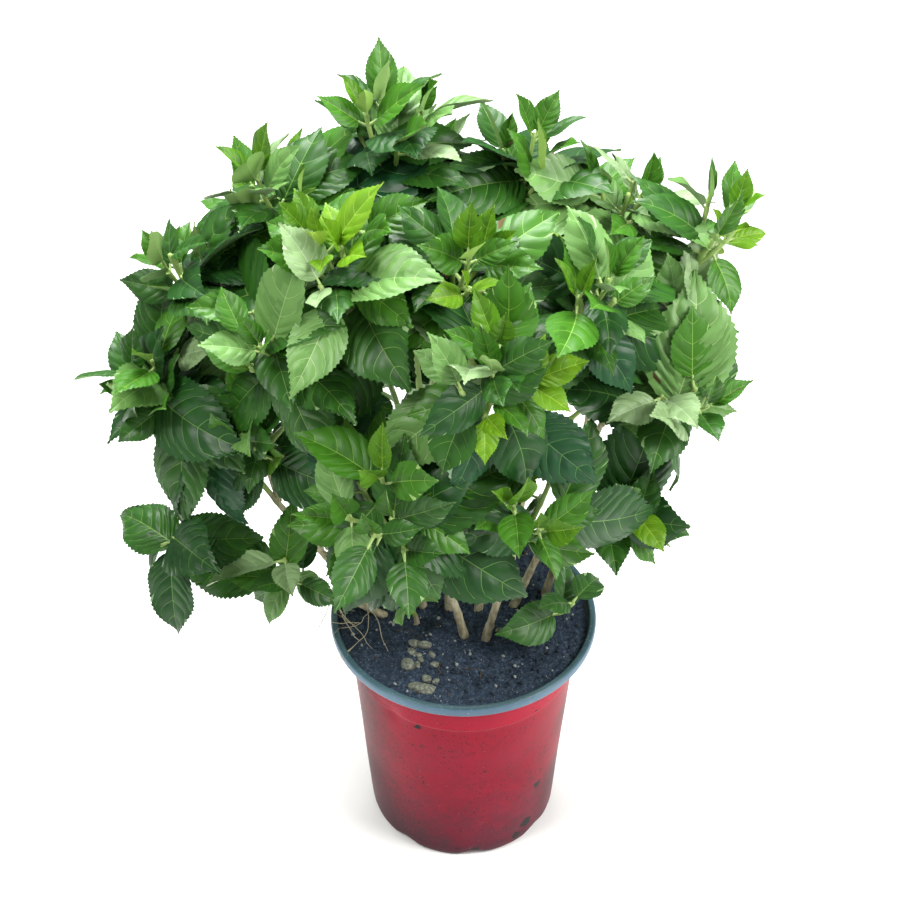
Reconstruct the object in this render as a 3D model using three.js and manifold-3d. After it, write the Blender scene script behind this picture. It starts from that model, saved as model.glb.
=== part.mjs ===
// A bigleaf hydrangea in a plastic nursery pot: pot, soil, woody stems, side boughs and masses of leaves.
// Millimetres, +Z up. The origin is the middle of the pot's flat underside, and -Y is the front.

import * as THREE from "three";
import { mergeVertices } from "three/addons/utils/BufferGeometryUtils.js";
import Module from "manifold-3d";

const wasm = await Module();
wasm.setup();

// --- Driving dimensions -------------------------------------------------------------------------

const POT = {
  height: 238,
  lipRadius: 119, // outside of the rolled lip
  lipHeight: 10,
  lipWidth: 7,
  ledge: 2, // thickness of the flange that carries the lip
  ledgeRise: 1.4,
  bandRadius: 102, // wall under the lip
  bandHeight: 37, // plain band between the lip and the step
  stepDepth: 1.2,
  footRadius: 87,
  footRound: 5,
  wall: 2.6,
  floor: 9,
  sides: 36,
};

const NOTCH = { count: 8, width: 24, height: 4.5, depth: 7, firstBearing: -83 };

const SOIL = {
  top: 232, // mean level, just under the rim: the soil lies over the flange
  unevenness: 3,
  edge: 110.6,
  rings: 3,
  sides: 18, // every second corner of the pot
};

const CROWN = {
  centre: new THREE.Vector3(-33, 8, 512),
  half: new THREE.Vector3(285, 255, 235),
};

const CLEARANCE = 0.3; // between parts that touch on the real plant
const CLEFT = 3; // between neighbouring masses of leaves
const LOBES = { count: 11, depth: 0.26, sharpness: 6 }; // swellings of a mass, and every third one a hollow

const ROOTSTOCK = new THREE.Vector3(0, -19, 0); // where the plant stands in the pot

const LIMB = { sides: 6, spans: 5, sunk: 14, inMass: 12, tipRadius: 2.1, wander: 4 };

const STEM_RADIUS = 3.6;
const BOUGH_RADIUS = 2.9;
const SHOOT_RADIUS = 2.3;

// --- The plant's build --------------------------------------------------------------------------
// Each mass of leaves lies on a bearing from the crown's middle (0 is +X, 90 is the back), at a rise above
// the level, at a reach that is a share of the crown's half size there, and has a mean radius.
// squash is its height against its width.
// Its limb rises from the soil at foot (a bearing and a distance from the rootstock), or forks from another
// limb at a share of that limb's length. The limb's middle hangs under the straight line by bow, and stands
// away from the pot's axis by out.

const MASSES = [
  { name: "top", bearing: 107, rise: 67, reach: 0.74, radius: 72, foot: [115, 28] },
  { name: "top_middle", bearing: 44, rise: 59, reach: 0.72, radius: 60, foot: [62, 26] },
  { name: "top_left", bearing: 153, rise: 52, reach: 0.7, radius: 62, foot: [138, 46] },
  { name: "top_right", bearing: 20, rise: 42, reach: 0.75, radius: 52, foot: [32, 84], bow: 0, out: 16 },
  { name: "upper_left", bearing: 176, rise: 26, reach: 0.7, radius: 56, fork: ["left", 0.6] },
  { name: "far_right", bearing: 5, rise: 31, reach: 0.9, radius: 52, squash: 1.15,
    foot: [38, 52], bow: -12 },
  { name: "middle_left", bearing: 236, rise: 60, reach: 0.65, radius: 62, foot: [303, 7], bow: -20 },
  { name: "middle", bearing: 287, rise: 61, reach: 0.67, radius: 56, fork: ["top", 0.55] },
  { name: "middle_right", bearing: 330, rise: 45, reach: 0.69, radius: 58, foot: [335, 19], bow: -16 },
  { name: "right", bearing: 357, rise: 18, reach: 0.72, radius: 50, fork: ["far_right", 0.55] },
  { name: "left", bearing: 189, rise: 3, reach: 0.72, radius: 70, squash: 0.75,
    foot: [148, 74], bow: 22 },
  { name: "left_inner", bearing: 223, rise: 34, reach: 0.63, radius: 54, fork: ["top_left", 0.5] },
  { name: "left_front", bearing: 212, rise: -9, reach: 0.5, radius: 54, fork: ["left", 0.36] },
  { name: "low_left", bearing: 197, rise: -38, reach: 0.96, radius: 56, squash: 1.2,
    foot: [158, 62], bow: -4 },
  { name: "low_left_inner", bearing: 211, rise: -59, reach: 0.86, radius: 40, squash: 1.2,
    fork: ["low_left", 0.5] },
  { name: "front", bearing: 261, rise: -6, reach: 0.6, radius: 68, squash: 1.35,
    fork: ["middle_left", 0.4] },
  { name: "front_middle", bearing: 288, rise: 34, reach: 0.64, radius: 64, fork: ["middle_right", 0.6] },
  { name: "front_right", bearing: 300, rise: -18, reach: 0.58, radius: 58, squash: 1.3,
    fork: ["middle_right", 0.3] },
  { name: "right_front", bearing: 343, rise: 1, reach: 0.7, radius: 68, squash: 0.72,
    fork: ["far_right", 0.42] },
  { name: "low_right", bearing: 338, rise: -38, reach: 0.77, radius: 47, fork: ["far_right", 0.25] },
  { name: "back_left", bearing: 129, rise: 6, reach: 0.72, radius: 76, foot: [126, 66] },
  { name: "back", bearing: 92, rise: 20, reach: 0.74, radius: 76, foot: [95, 56] },
  { name: "back_right", bearing: 54, rise: 10, reach: 0.77, radius: 74, foot: [60, 62] },
  { name: "low_back_left", bearing: 116, rise: -33, reach: 0.79, radius: 73, fork: ["back_left", 0.28] },
  { name: "low_back_right", bearing: 72, rise: -29, reach: 0.81, radius: 71, fork: ["back_right", 0.3] },
  { name: "right_back", bearing: 30, rise: -20, reach: 0.77, radius: 62, fork: ["back_right", 0.4] },
];

// Low shoots with a few small leaves, over the soil and over the lip.
const LOW_SHOOTS = [
  { name: "low_front_shoot", bearing: 197, distance: 44, height: 278, radius: 31, foot: [165, 47] },
  { name: "low_right_shoot", bearing: 345, distance: 84, height: 266, radius: 40,
    foot: [5, 56], squash: 0.62 },
];

// --- Small tools --------------------------------------------------------------------------------

const UP = new THREE.Vector3(0, 0, 1);

// A repeatable stream of numbers from 0 to 1.
function randomFrom(seed) {
  let state = seed;
  return () => {
    state = (state + 0x6d2b79f5) | 0;
    let t = Math.imul(state ^ (state >>> 15), 1 | state);
    t = (t + Math.imul(t ^ (t >>> 7), 61 | t)) ^ t;
    return ((t ^ (t >>> 14)) >>> 0) / 4294967296;
  };
}

function onBearing(degrees, distance, z = 0) {
  const angle = THREE.MathUtils.degToRad(degrees);
  return new THREE.Vector3(distance * Math.cos(angle), distance * Math.sin(angle), z);
}

// A closed geometry as a manifold-3d solid.
function toSolid(geometry) {
  const bare = geometry.clone();
  bare.deleteAttribute("normal");
  bare.deleteAttribute("uv");
  const merged = mergeVertices(bare, 1e-4);
  const mesh = new wasm.Mesh({
    numProp: 3,
    vertProperties: new Float32Array(merged.attributes.position.array),
    triVerts: new Uint32Array(merged.index.array),
  });
  return new wasm.Manifold(mesh);
}

// The largest body of a solid, as a geometry.
function toGeometry(solid) {
  const bodies = solid.decompose().sort((a, b) => b.volume() - a.volume());
  const mesh = bodies[0].getMesh();
  const geometry = new THREE.BufferGeometry();
  geometry.setAttribute("position", new THREE.BufferAttribute(mesh.vertProperties, 3));
  geometry.setIndex(new THREE.BufferAttribute(mesh.triVerts, 1));
  const flat = geometry.toNonIndexed();
  flat.computeVertexNormals();
  return flat;
}

function cut(solid, tools) {
  return tools.reduce((rest, tool) => rest.subtract(tool), solid);
}

// --- Pot ----------------------------------------------------------------------------------------

// Radius of the pot's outside at a height below the step, on a straight taper.
function taperRadius(z) {
  const stepZ = POT.height - POT.lipHeight - POT.bandHeight;
  const topRadius = POT.bandRadius - POT.stepDepth;
  return THREE.MathUtils.lerp(POT.footRadius, topRadius, z / stepZ);
}

// Height of the flange's upper face where it leaves the wall.
const LEDGE = POT.height - POT.lipHeight + POT.ledge;

// Radius of the pot's inside, on a straight taper from the floor to the flange.
function innerRadius(z) {
  const [floorRadius, lipRadius] = [taperRadius(POT.floor) - POT.wall, POT.bandRadius - POT.wall];
  return THREE.MathUtils.mapLinear(z, POT.floor, LEDGE, floorRadius, lipRadius);
}

function potSolid() {
  const { height, lipRadius, lipHeight, lipWidth, bandRadius, bandHeight, stepDepth, footRound, floor } = POT;
  const stepZ = height - lipHeight - bandHeight;
  // Centre of the rolled edge.
  const lip = new THREE.Vector2(lipRadius - lipWidth / 2, height - lipHeight / 2);
  const profile = [new THREE.Vector2(0, 0), new THREE.Vector2(taperRadius(0) - footRound, 0)];
  profile.push(new THREE.Vector2(taperRadius(footRound), footRound));
  profile.push(new THREE.Vector2(taperRadius(stepZ), stepZ));
  profile.push(new THREE.Vector2(taperRadius(stepZ) + stepDepth, stepZ + stepDepth));
  profile.push(new THREE.Vector2(bandRadius, height - lipHeight));
  for (const degrees of [-90, -45, 0, 45, 90, 135, 180]) {
    const angle = THREE.MathUtils.degToRad(degrees);
    const [out, up] = [(lipWidth / 2) * Math.cos(angle), (lipHeight / 2) * Math.sin(angle)];
    profile.push(new THREE.Vector2(lip.x + out, lip.y + up));
  }
  profile.push(new THREE.Vector2(lipRadius - lipWidth, LEDGE + POT.ledgeRise));
  profile.push(new THREE.Vector2(innerRadius(LEDGE), LEDGE));
  profile.push(new THREE.Vector2(innerRadius(floor), floor));
  profile.push(new THREE.Vector2(0, floor));
  const body = toSolid(new THREE.LatheGeometry(profile, POT.sides).rotateX(Math.PI / 2));
  return cut(body, notchSolids());
}

// Drain notches round the edge of the foot.
function notchSolids() {
  const notches = [];
  for (let i = 0; i < NOTCH.count; i++) {
    const bearing = NOTCH.firstBearing + (i * 360) / NOTCH.count;
    const box = new THREE.BoxGeometry(NOTCH.depth * 2, NOTCH.width, NOTCH.height * 2);
    const place = onBearing(bearing, taperRadius(0));
    box.rotateZ(THREE.MathUtils.degToRad(bearing)).translate(place.x, place.y, 0);
    notches.push(toSolid(box));
  }
  return notches;
}

// --- Soil ---------------------------------------------------------------------------------------

function soilSolid() {
  const bottom = POT.floor + CLEARANCE;
  const profile = [new THREE.Vector2(0, bottom)];
  profile.push(new THREE.Vector2(innerRadius(bottom) - CLEARANCE, bottom));
  profile.push(new THREE.Vector2(innerRadius(LEDGE) - CLEARANCE, LEDGE + CLEARANCE));
  profile.push(new THREE.Vector2(SOIL.edge, LEDGE + POT.ledgeRise + CLEARANCE));
  for (let ring = 0; ring <= SOIL.rings; ring++) {
    profile.push(new THREE.Vector2(SOIL.edge * (1 - ring / SOIL.rings), SOIL.top + CLEARANCE));
  }
  const geometry = new THREE.LatheGeometry(profile, SOIL.sides).rotateX(Math.PI / 2);
  const position = geometry.attributes.position;
  for (let i = 0; i < position.count; i++) {
    const [x, y, z] = [position.getX(i), position.getY(i), position.getZ(i)];
    if (z < SOIL.top || Math.hypot(x, y) > SOIL.edge - 1) continue;
    const swell = Math.sin(x / 21 + 0.6) * Math.cos(y / 17) + 0.6 * Math.sin((x + y) / 11);
    position.setZ(i, z + (SOIL.unevenness * swell) / 1.6);
  }
  return toSolid(geometry);
}

// --- Masses of leaves ---------------------------------------------------------------------------

function massCentre(row) {
  if (row.distance) return onBearing(row.bearing, row.distance, row.height);
  const rise = THREE.MathUtils.degToRad(row.rise);
  const direction = onBearing(row.bearing, Math.cos(rise), Math.sin(rise));
  return direction.multiplyScalar(row.reach).multiply(CROWN.half).add(CROWN.centre);
}

// An uneven ellipsoid: the radius along a direction, with a few seeded swellings and hollows.
function massShape(row, seed) {
  const random = randomFrom(seed);
  const lobes = Array.from({ length: LOBES.count }, (_, i) => ({
    axis: new THREE.Vector3(random() - 0.5, random() - 0.5, random() - 0.5).normalize(),
    depth: (i % 3 === 0 ? -LOBES.depth : LOBES.depth) * (0.6 + 0.4 * random()),
  }));
  const half = new THREE.Vector3(1, 1, row.squash ?? 1).multiplyScalar(row.radius);
  return (direction) => {
    const ellipsoid = 1 / direction.clone().divide(half).length();
    const swell = (lobe) => lobe.depth * Math.max(0, direction.dot(lobe.axis)) ** LOBES.sharpness;
    return ellipsoid * (1 + lobes.reduce((sum, lobe) => sum + swell(lobe), 0));
  };
}

// Planes half way to each neighbour, which keep the masses apart.
function cleftsOf(mass, all) {
  return all
    .filter((other) => other !== mass)
    .map((other) => {
      const way = other.centre.clone().sub(mass.centre);
      const distance = way.length();
      const share = mass.row.radius / (mass.row.radius + other.row.radius);
      return { normal: way.normalize(), offset: distance * share - CLEFT / 2 };
    });
}

function reachOf(mass, direction) {
  const limits = mass.clefts.map(({ normal, offset }) => {
    const facing = direction.dot(normal);
    return facing > 1e-6 ? offset / facing : Infinity;
  });
  return Math.min(mass.shape(direction), ...limits);
}

function massSolid(mass) {
  const detail = mass.row.radius < 45 ? 2 : 3;
  const geometry = new THREE.OctahedronGeometry(1, detail);
  const position = geometry.attributes.position;
  const direction = new THREE.Vector3();
  for (let i = 0; i < position.count; i++) {
    direction.fromBufferAttribute(position, i).normalize();
    const point = direction.clone().multiplyScalar(reachOf(mass, direction)).add(mass.centre);
    position.setXYZ(i, point.x, point.y, point.z);
  }
  return toSolid(geometry);
}

function growMasses() {
  const rows = [...MASSES, ...LOW_SHOOTS];
  const masses = rows.map((row, i) => ({ row, centre: massCentre(row), shape: massShape(row, 100 + i) }));
  for (const mass of masses) mass.clefts = cleftsOf(mass, masses);
  return masses;
}

// --- Limbs --------------------------------------------------------------------------------------

// A closed tube along a curve, its radius going evenly from one end to the other.
function taperedTube(curve, startRadius, endRadius, sides, spans) {
  const frames = curve.computeFrenetFrames(spans, false);
  const vertices = [];
  const faces = [];
  for (let i = 0; i <= spans; i++) {
    const centre = curve.getPointAt(i / spans);
    const radius = THREE.MathUtils.lerp(startRadius, endRadius, i / spans);
    for (let j = 0; j < sides; j++) {
      const angle = (2 * Math.PI * j) / sides;
      const point = centre.clone();
      point.addScaledVector(frames.normals[i], radius * Math.cos(angle));
      point.addScaledVector(frames.binormals[i], radius * Math.sin(angle));
      vertices.push(point.x, point.y, point.z);
    }
  }
  const at = (i, j) => i * sides + (j % sides);
  for (let i = 0; i < spans; i++) {
    for (let j = 0; j < sides; j++) {
      faces.push(at(i, j), at(i, j + 1), at(i + 1, j + 1));
      faces.push(at(i, j), at(i + 1, j + 1), at(i + 1, j));
    }
  }
  for (let j = 1; j < sides - 1; j++) {
    faces.push(at(0, 0), at(0, j + 1), at(0, j));
    faces.push(at(spans, 0), at(spans, j), at(spans, j + 1));
  }
  const geometry = new THREE.BufferGeometry();
  geometry.setAttribute("position", new THREE.Float32BufferAttribute(vertices, 3));
  geometry.setIndex(faces);
  return toSolid(geometry);
}

// The line of a limb, from its foot to just inside its mass, with a slight wander.
function limbCurve(mass, start, seed) {
  const random = randomFrom(seed);
  const inward = start.clone().sub(mass.centre).normalize();
  const depth = Math.min(LIMB.inMass, mass.row.radius / 3);
  const end = mass.centre.clone().addScaledVector(inward, reachOf(mass, inward) - depth);
  const hang = mass.row.bow ?? -0.06 * start.distanceTo(end);
  const outward = new THREE.Vector3(start.x, start.y, 0).setLength(mass.row.out ?? 0);
  const points = [0, 0.25, 0.5, 0.75, 1].map((share) => {
    const point = start.clone().lerp(end, share);
    const middle = 4 * share * (1 - share);
    point.addScaledVector(UP, -hang * middle).addScaledVector(outward, middle);
    const wander = () => (random() - 0.5) * LIMB.wander * 2 * Math.sqrt(middle);
    return point.add(new THREE.Vector3(wander(), wander(), wander()));
  });
  return new THREE.CatmullRomCurve3(points);
}

function limbRadius(row) {
  if (row.distance) return SHOOT_RADIUS;
  return row.foot ? STEM_RADIUS : BOUGH_RADIUS;
}

// Stems first, and then the boughs that fork from them, each cut clear of the limbs grown before it.
function growLimbs(masses) {
  const order = [...masses.filter((mass) => mass.row.foot), ...masses.filter((mass) => mass.row.fork)];
  const grown = new Map();
  order.forEach((mass, i) => {
    const { foot, fork } = mass.row;
    const start = foot
      ? onBearing(foot[0], foot[1], SOIL.top - LIMB.sunk).add(ROOTSTOCK)
      : grown.get(fork[0]).curve.getPointAt(fork[1]);
    const curve = limbCurve(mass, start, 500 + i);
    const tube = (extra) => {
      const [startRadius, endRadius] = [limbRadius(mass.row) + extra, LIMB.tipRadius + extra];
      return taperedTube(curve, startRadius, endRadius, LIMB.sides, LIMB.spans);
    };
    const others = [...grown.values()].map((limb) => limb.room);
    const solid = cut(tube(0), others);
    const name = (foot ? "stem_" : "bough_") + mass.row.name;
    grown.set(mass.row.name, { name, curve, solid, room: tube(CLEARANCE * 1.5) });
  });
  return [...grown.values()];
}

// --- Assembly -----------------------------------------------------------------------------------

const MATERIALS = {
  pot: new THREE.MeshStandardMaterial({ color: 0x9c3448, roughness: 0.55, metalness: 0 }),
  soil: new THREE.MeshStandardMaterial({ color: 0x30343a, roughness: 0.95, metalness: 0 }),
  bark: new THREE.MeshStandardMaterial({ color: 0x9c8f6e, roughness: 0.8, metalness: 0 }),
  leaves: new THREE.MeshStandardMaterial({ color: 0x3f6b35, roughness: 0.6, metalness: 0 }),
};

const plant = new THREE.Group();

function add(name, solid, material) {
  const mesh = new THREE.Mesh(toGeometry(solid), MATERIALS[material]);
  mesh.name = name;
  plant.add(mesh);
}

const masses = growMasses();
const limbs = growLimbs(masses);
const limbRooms = limbs.map((limb) => limb.room);

add("pot", potSolid(), "pot");
add("soil", cut(soilSolid(), limbRooms), "soil");
for (const limb of limbs) add(limb.name, limb.solid, "bark");
for (const mass of masses) add("leaves_" + mass.row.name, cut(massSolid(mass), limbRooms), "leaves");

export default plant;
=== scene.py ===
"""A bigleaf hydrangea in a red nursery pot: bark, green shoots, leaves, soil and pot around the CAD frame."""

import math

import bpy
import numpy as np
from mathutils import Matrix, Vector, noise
from mathutils.bvhtree import BVHTree


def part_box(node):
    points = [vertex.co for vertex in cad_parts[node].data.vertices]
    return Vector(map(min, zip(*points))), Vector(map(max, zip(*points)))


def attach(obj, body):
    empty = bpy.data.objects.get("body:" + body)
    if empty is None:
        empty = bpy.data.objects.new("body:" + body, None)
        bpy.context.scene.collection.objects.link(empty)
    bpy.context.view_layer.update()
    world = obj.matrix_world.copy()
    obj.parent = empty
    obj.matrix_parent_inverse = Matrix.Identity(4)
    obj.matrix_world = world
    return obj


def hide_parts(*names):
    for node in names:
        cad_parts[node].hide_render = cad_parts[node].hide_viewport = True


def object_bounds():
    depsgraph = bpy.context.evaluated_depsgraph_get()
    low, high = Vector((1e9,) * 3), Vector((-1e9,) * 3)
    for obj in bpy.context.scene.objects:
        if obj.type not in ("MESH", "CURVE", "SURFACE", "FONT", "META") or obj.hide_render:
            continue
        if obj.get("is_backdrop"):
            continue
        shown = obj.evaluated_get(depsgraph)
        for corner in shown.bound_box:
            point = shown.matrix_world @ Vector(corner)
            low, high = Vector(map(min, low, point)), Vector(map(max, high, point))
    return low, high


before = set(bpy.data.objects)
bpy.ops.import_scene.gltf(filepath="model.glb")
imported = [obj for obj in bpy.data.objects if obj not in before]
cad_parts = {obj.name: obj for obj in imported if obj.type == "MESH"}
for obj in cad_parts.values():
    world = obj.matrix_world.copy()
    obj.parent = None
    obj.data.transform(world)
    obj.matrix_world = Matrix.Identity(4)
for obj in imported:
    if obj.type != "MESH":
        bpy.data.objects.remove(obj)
CAD_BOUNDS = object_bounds()
MM = 0.001

# --- Numbers and vectors ------------------------------------------------------------------------

UP = np.array([0.0, 0.0, 1.0])


def unit(v):
    return v / max(np.linalg.norm(v), 1e-9)


def square_to(v, axis):
    """The part of v that is square to a unit axis, as a unit vector."""
    return unit(v - axis * np.dot(v, axis))


def turned(v, axis, angle):
    """v turned about a unit axis."""
    cos, sin = math.cos(angle), math.sin(angle)
    return v * cos + np.cross(axis, v) * sin + axis * np.dot(axis, v) * (1 - cos)


def linear(hex_colour):
    """A linear RGBA from an sRGB hex colour."""
    channels = [int(hex_colour[i:i + 2], 16) / 255 for i in (0, 2, 4)]
    return [((c + 0.055) / 1.055) ** 2.4 if c > 0.04045 else c / 12.92 for c in channels] + [1.0]


def round_angles(count):
    """Even angles round a full turn."""
    return np.arange(count) * 2 * math.pi / count


def from_axis(reach, bearing):
    """x and y at a reach from the pot's axis."""
    return reach * np.array([math.cos(bearing), math.sin(bearing)])


def angle_in(random, low, high):
    """A random angle between two that are in degrees."""
    return math.radians(random.uniform(low, high))


def node_box(name):
    """Centre and half size of a CAD node."""
    low, high = (np.array(corner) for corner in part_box(name))
    return (low + high) / 2, (high - low) / 2


# --- Meshes -------------------------------------------------------------------------------------

FLIPPED = [0, 3, 2, 1]  # a quad's corners taken the other way round


def grid_quads(index):
    """Quads over a grid of vertex numbers."""
    return np.stack([index[:-1, :-1], index[:-1, 1:], index[1:, 1:], index[1:, :-1]], -1).reshape(-1, 4)


def ring_quads(rings, sides):
    """Quads between rings of vertices that follow one another."""
    index = np.arange(rings * sides).reshape(rings, sides)
    return grid_quads(np.hstack([index, index[:, :1]]))


def add_object(name, data):
    made = bpy.data.objects.new(name, data)
    bpy.context.scene.collection.objects.link(made)
    return made


class Soup:
    """Vertices, quads and triangles collected from many small shapes, with a material slot for each face."""

    def __init__(self):
        self.vertices, self.quads, self.triangles = [], [], []
        self.quad_slots, self.triangle_slots, self.sharp = [], [], []
        self.count = 0

    def add(self, vertices, quads=(), quad_slots=0, triangles=(), triangle_slots=0, sharp=None):
        vertices = np.asarray(vertices, float).reshape(-1, 3)
        quads = np.asarray(quads, int).reshape(-1, 4)
        triangles = np.asarray(triangles, int).reshape(-1, 3)
        self.vertices.append(vertices)
        self.quads.append(quads + self.count)
        self.triangles.append(triangles + self.count)
        self.quad_slots.append(np.broadcast_to(quad_slots, len(quads)))
        self.triangle_slots.append(np.broadcast_to(triangle_slots, len(triangles)))
        self.sharp.append(np.zeros(len(vertices), bool) if sharp is None else sharp)
        self.count += len(vertices)

    def add_tube(self, points, radii, sides, slot):
        vertices, quads, ends = tube(points, radii, sides)
        self.add(vertices, quads, slot, ends, slot)

    def build(self, name, materials):
        vertices = np.concatenate(self.vertices)
        quads, triangles = np.concatenate(self.quads), np.concatenate(self.triangles)
        slots = np.concatenate(self.quad_slots + self.triangle_slots)
        mesh = bpy.data.meshes.new(name)
        mesh.vertices.add(len(vertices))
        mesh.vertices.foreach_set("co", vertices.astype(np.float32).ravel())
        corners = np.concatenate([quads.ravel(), triangles.ravel()])
        sizes = np.concatenate([np.full(len(quads), 4), np.full(len(triangles), 3)])
        mesh.loops.add(len(corners))
        mesh.loops.foreach_set("vertex_index", corners.astype(np.int32))
        mesh.polygons.add(len(sizes))
        starts = np.concatenate([[0], np.cumsum(sizes)[:-1]])
        mesh.polygons.foreach_set("loop_start", starts.astype(np.int32))
        mesh.polygons.foreach_set("material_index", slots.astype(np.int32))
        mesh.polygons.foreach_set("use_smooth", np.ones(len(sizes), bool))
        mesh.update(calc_edges=True)
        sharp = np.concatenate(self.sharp)
        if sharp.any():
            ends = np.zeros(len(mesh.edges) * 2, np.int32)
            mesh.edges.foreach_get("vertices", ends)
            both = sharp[ends.reshape(-1, 2)].all(axis=1)
            mesh.attributes.new("sharp_edge", "BOOLEAN", "EDGE").data.foreach_set("value", both)
        for material in materials:
            mesh.materials.append(material)
        mesh.validate()
        return add_object(name, mesh)


def place(piece, slot, *nodes):
    """Hangs a piece on the root body and hides the CAD nodes that it stands for. The slot, its finish, is not
    used.
    """
    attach(piece, "root")
    if nodes:
        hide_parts(*nodes)


def tube(points, radii, sides):
    """Vertices, quads and end triangles of a closed tube through points, with a radius at each."""
    points, radii = np.asarray(points), np.asarray(radii)
    tangents = np.gradient(points, axis=0)
    tangents /= np.maximum(np.linalg.norm(tangents, axis=1, keepdims=True), 1e-9)
    normal = square_to(np.array([0.31, 0.87, 0.37]), tangents[0])
    angles, rings = round_angles(sides), []
    for point, tangent, radius in zip(points, tangents, radii):
        normal = square_to(normal, tangent)
        across = np.cross(tangent, normal)
        spokes = np.outer(np.cos(angles), normal) + np.outer(np.sin(angles), across)
        rings.append(point + spokes * np.reshape(radius, (-1, 1)))
    n, j = len(points), np.arange(sides)
    k = (j + 1) % sides
    foot = np.stack([np.full(sides, n * sides), k, j], axis=-1)
    tip = np.stack([np.full(sides, n * sides + 1), (n - 1) * sides + j, (n - 1) * sides + k], axis=-1)
    vertices = np.concatenate(rings + [points[:1], points[-1:]])
    return vertices, ring_quads(n, sides), np.concatenate([foot, tip])


def bezier(a, b, c, d, count):
    """Points of a cubic curve."""
    t = np.linspace(0, 1, count)[:, None]
    return (1 - t) ** 3 * a + 3 * (1 - t) ** 2 * t * b + 3 * (1 - t) * t ** 2 * c + t ** 3 * d


# --- Camera, light and floor --------------------------------------------------------------------

EYE = Vector((-0.012, -1.198, 1.431))
LOOK_DOWN = math.radians(40.0)
FIELD_OF_VIEW = math.radians(26.9)
AMBIENT, AMBIENT_COLOUR = 0.45, (0.97, 0.98, 0.96, 1.0)
LIGHTS = {  # place in m, width in m, power in W, colour
    "sky": ((-0.2, 0.9, 2.3), 1.2, 88, (0.98, 1.0, 0.98)),
    "key": ((-1.1, -0.8, 2.3), 0.7, 32, (1.0, 0.99, 0.96)),
    "fill": ((1.6, -0.7, 1.8), 1.2, 51, (1.0, 1.0, 0.96)),
}
LIT_POINT = Vector((0.0, 0.0, 0.45))
FLOOR_REACH = 12.0


def set_camera():
    camera = bpy.data.cameras.new("camera")
    camera.sensor_width = 36.0
    camera.angle = FIELD_OF_VIEW
    camera.clip_start, camera.clip_end = 0.05, 20.0
    holder = add_object("camera", camera)
    holder.location = EYE
    holder.rotation_euler = (math.pi / 2 - LOOK_DOWN, 0.0, 0.0)
    bpy.context.scene.camera = holder


def set_lights():
    world = bpy.data.worlds.new("studio")
    world.use_nodes = True
    background = world.node_tree.nodes["Background"]
    background.inputs["Color"].default_value = AMBIENT_COLOUR
    background.inputs["Strength"].default_value = AMBIENT
    bpy.context.scene.world = world
    for name, (at, width, power, colour) in LIGHTS.items():
        light = bpy.data.lights.new(name, "AREA")
        light.shape, light.size, light.energy, light.color = "DISK", width, power, colour
        holder = add_object(name, light)
        holder.location = at
        holder.rotation_euler = (LIT_POINT - Vector(at)).to_track_quat("-Z", "Y").to_euler()
    bpy.context.scene.view_settings.view_transform = "Standard"


def make_floor():
    """A plain pale floor, far larger than the view."""
    soup = Soup()
    corners = [(-1, -1, 0), (1, -1, 0), (1, 1, 0), (-1, 1, 0)]
    soup.add(np.array(corners) * FLOOR_REACH, quads=[(0, 1, 2, 3)])
    floor = soup.build("floor", [Tree("floor").finish((0.96, 0.96, 0.96, 1.0), 0.9)])
    floor.location.z = CAD_BOUNDS[0][2] - 0.0002
    floor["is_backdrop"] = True


# --- Materials ----------------------------------------------------------------------------------


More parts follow.
